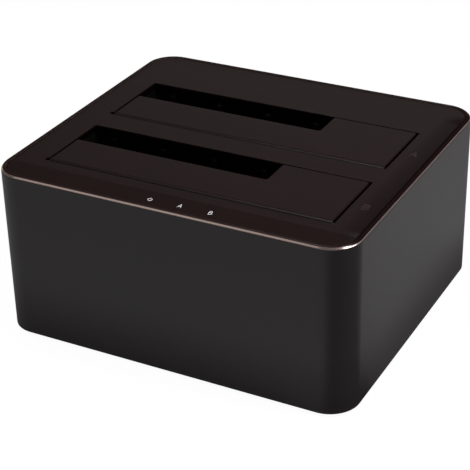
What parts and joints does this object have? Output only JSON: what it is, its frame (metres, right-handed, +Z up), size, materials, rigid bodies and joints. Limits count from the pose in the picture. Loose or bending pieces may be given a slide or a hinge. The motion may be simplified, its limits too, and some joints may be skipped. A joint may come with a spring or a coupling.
{
  "type": "hard drive docking station",
  "caption": "Desktop docking station for bare drives: a rounded black case with drive bays on top under sprung L-shaped flaps, and inlets and a push button at the back.",
  "frame": {"origin": "on the surface that the feet stand on, below the middle of the case", "axes": "+X to the right, seen from the front, +Y to the back, +Z up"},
  "size_m": [0.129, 0.114, 0.061],
  "materials": {
    "sleeve_black": "satin black with a polished top bevel",
    "cover_black": "fine satin black",
    "inner_black": "matt black",
    "spring_steel": "bright",
    "contact_gold": "plated",
    "board_green": "lacquered",
    "can_aluminium": "drawn",
    "clear_plastic": "clear",
    "foot_rubber": "matt"
  },
  "bodies": {
    "dock": {"outer_sleeve": "sleeve_black", "top_cover": "cover_black", "bay_well_a": "inner_black", "bay_well_b": "inner_black", "base_plate": "inner_black", "rear_panel": "inner_black", "sata_socket_a": "inner_black", "sata_socket_b": "inner_black", "usb_port_tongue": "inner_black", "dc_jack_body": "inner_black", "power_switch_body": "inner_black", "controller_chips": "inner_black", "inductors": "inner_black", "hinge_pin_a": "spring_steel", "hinge_pin_b": "spring_steel", "door_spring_a": "spring_steel", "door_spring_b": "spring_steel", "power_switch_spring": "spring_steel", "base_screws": "spring_steel", "board_screws": "spring_steel", "usb_port_shell": "spring_steel", "dc_jack_pin": "spring_steel", "sata_contacts_a": "contact_gold", "sata_contacts_b": "contact_gold", "main_board": "board_green", "capacitors": "can_aluminium", "light_pipe": "clear_plastic", "status_leds": "clear_plastic", "rubber_feet": "foot_rubber"},
    "flap_a": {"door_a": "cover_black"},
    "flap_b": {"door_b": "cover_black"},
    "button": {"power_button": "inner_black", "power_switch_plunger": "inner_black"}
  },
  "joints": [
    {"name": "flap_a_hinge", "type": "hinge", "parent": "dock", "child": "flap_a", "pos_m": [0.0004, 0.0013, 0.05915], "axis": [-1, 0, 0], "range_deg": [0, 90], "stiffness_Nm_per_rad": 0.003, "springref_deg": -45.84, "deforming": ["door_spring_a"]},
    {"name": "flap_b_hinge", "type": "hinge", "parent": "dock", "child": "flap_b", "pos_m": [0.0004, -0.0397, 0.05915], "axis": [-1, 0, 0], "range_deg": [0, 90], "stiffness_Nm_per_rad": 0.003, "springref_deg": -45.84, "deforming": ["door_spring_b"]},
    {"name": "power_button_push", "type": "slide", "parent": "dock", "child": "button", "axis": [0, -1, 0], "range_m": [0, 0.002], "stiffness_N_per_m": 600, "springref_m": -0.0005, "deforming": ["power_switch_spring"]}
  ]
}
